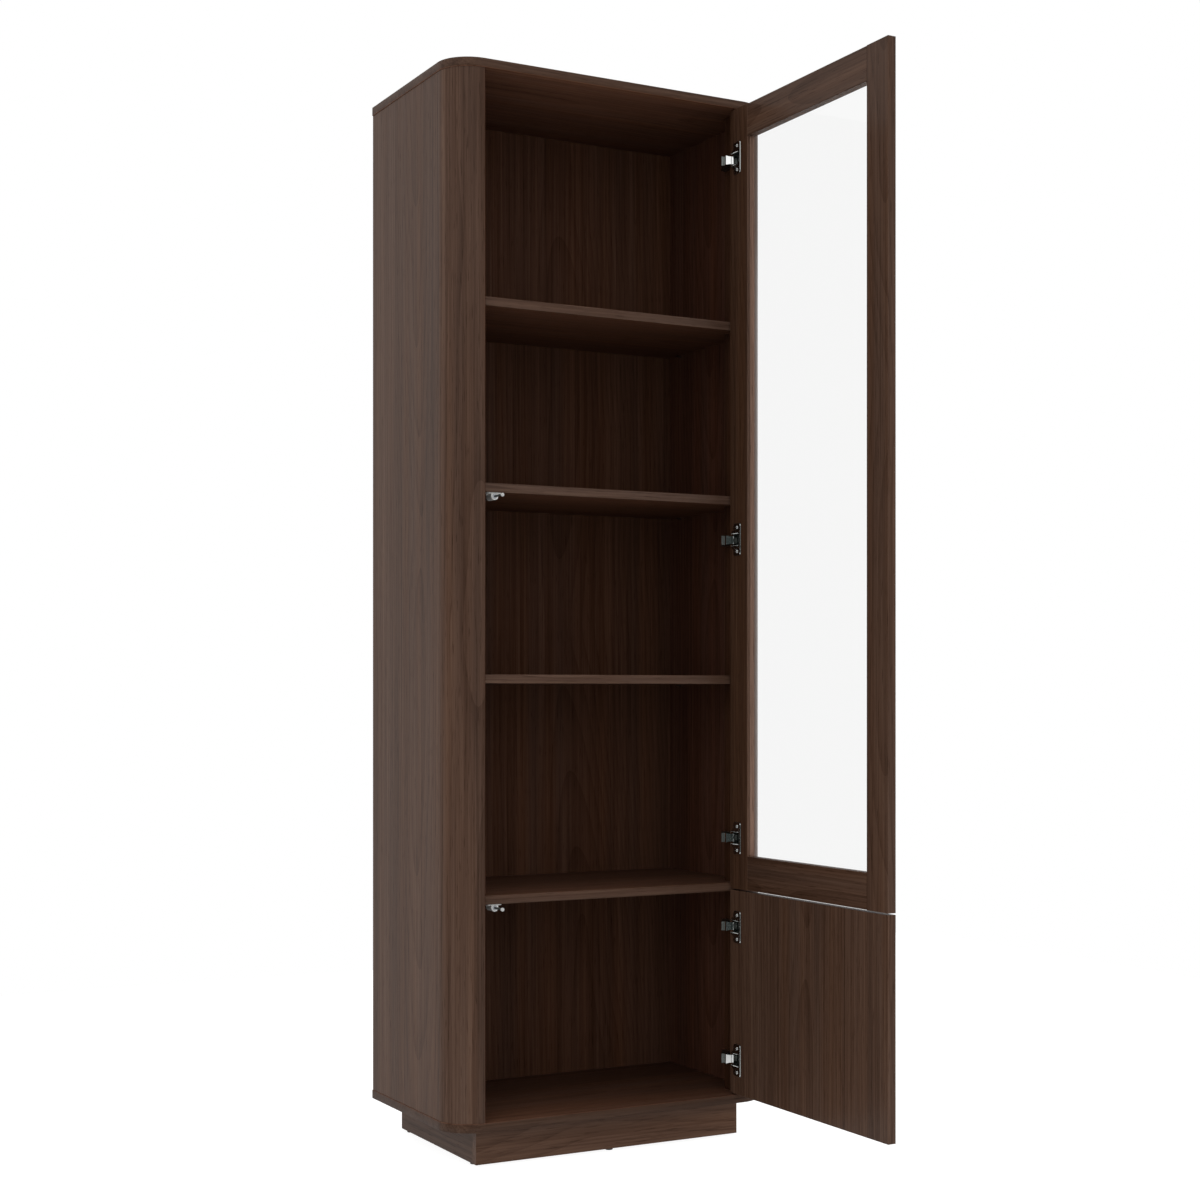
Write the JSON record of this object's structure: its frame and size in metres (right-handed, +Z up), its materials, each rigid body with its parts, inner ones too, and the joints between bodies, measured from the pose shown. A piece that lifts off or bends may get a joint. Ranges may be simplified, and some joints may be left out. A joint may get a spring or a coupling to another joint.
{
  "type": "bookcase with glass door",
  "caption": "Tall walnut display bookcase with rounded front corners, open shelves behind a framed glass door, a solid lower door, concealed hinges and a recessed plinth.",
  "frame": {"origin": "on the floor, under the middle glide of the front plinth rail", "axes": "+Z up, +X to the right as seen from the front, +Y to the back; the doors are on the -Y side and stand open at a right angle at rest"},
  "size_m": [0.6518, 0.892, 1.951],
  "materials": {
    "walnut_case": "satin walnut grain",
    "walnut_door": "satin walnut grain",
    "walnut_back": "satin walnut grain",
    "clear_glass": "clear float glass",
    "nickel_steel": "nickel plated",
    "screw_steel": "zinc plated",
    "white_plastic": "moulded",
    "grey_plastic": "moulded",
    "black_plastic": "moulded",
    "beech_dowel": "fluted beech"
  },
  "bodies": {
    "carcass": {"arm_screws": "screw_steel", "back_panel": "walnut_back", "bottom_panel": "walnut_case", "case_dowels": "beech_dowel", "divider_dowels": "beech_dowel", "divider_shelf": "walnut_case", "glass_door_bottom_hinge_arm": "nickel_steel", "glass_door_bottom_hinge_plate": "nickel_steel", "glass_door_middle_hinge_arm": "nickel_steel", "glass_door_middle_hinge_plate": "nickel_steel", "glass_door_top_hinge_arm": "nickel_steel", "glass_door_top_hinge_plate": "nickel_steel", "glides": "black_plastic", "latch_screws": "screw_steel", "left_front_post": "walnut_case", "left_side": "walnut_case", "lower_latch_adapter": "white_plastic", "lower_latch_cartridge": "grey_plastic", "lower_shelf": "walnut_case", "middle_shelf": "walnut_case", "plate_screws": "screw_steel", "plinth_back_rail": "walnut_case", "plinth_dowels": "beech_dowel", "plinth_front_rail": "walnut_case", "plinth_left_rail": "walnut_case", "plinth_right_rail": "walnut_case", "right_front_post": "walnut_case", "right_side": "walnut_case", "shelf_pins": "screw_steel", "top_panel": "walnut_case", "upper_latch_adapter": "white_plastic", "upper_latch_cartridge": "grey_plastic", "upper_shelf": "walnut_case", "wood_door_bottom_hinge_arm": "nickel_steel", "wood_door_bottom_hinge_plate": "nickel_steel", "wood_door_top_hinge_arm": "nickel_steel", "wood_door_top_hinge_plate": "nickel_steel"},
    "glass_door": {"frame_dowels": "beech_dowel", "glass_door_bottom_hinge_cup": "nickel_steel", "glass_door_bottom_rail": "walnut_door", "glass_door_cup_screws": "screw_steel", "glass_door_free_stile": "walnut_door", "glass_door_hinge_pins": "screw_steel", "glass_door_hinge_stile": "walnut_door", "glass_door_middle_hinge_cup": "nickel_steel", "glass_door_top_hinge_cup": "nickel_steel", "glass_door_top_rail": "walnut_door", "glass_pane": "clear_glass"},
    "wood_door": {"wood_door_bottom_hinge_cup": "nickel_steel", "wood_door_cup_screws": "screw_steel", "wood_door_hinge_pins": "screw_steel", "wood_door_slab": "walnut_door", "wood_door_top_hinge_cup": "nickel_steel"},
    "upper_plunger": {"upper_latch_plunger": "grey_plastic", "upper_latch_tip": "white_plastic"},
    "lower_plunger": {"lower_latch_plunger": "grey_plastic", "lower_latch_tip": "white_plastic"}
  },
  "joints": [
    {"name": "glass_door_swing", "type": "hinge", "parent": "carcass", "child": "glass_door", "pos_m": [0.253, -0.03, 1.2], "axis": [0, 0, 1], "range_deg": [-90, 5]},
    {"name": "wood_door_swing", "type": "hinge", "parent": "carcass", "child": "wood_door", "pos_m": [0.253, -0.03, 0.276], "axis": [0, 0, 1], "range_deg": [-90, 5]},
    {"name": "upper_latch_push", "type": "slide", "parent": "carcass", "child": "upper_plunger", "axis": [0, 1, 0], "range_m": [-0.0015, 0.0261]},
    {"name": "lower_latch_push", "type": "slide", "parent": "carcass", "child": "lower_plunger", "axis": [0, 1, 0], "range_m": [-0.0015, 0.0261]}
  ],
  "couplings": [
    {"joint": "upper_latch_push", "follows": "glass_door_swing", "m_per_rad": -0.016552},
    {"joint": "lower_latch_push", "follows": "wood_door_swing", "m_per_rad": -0.016552}
  ]
}
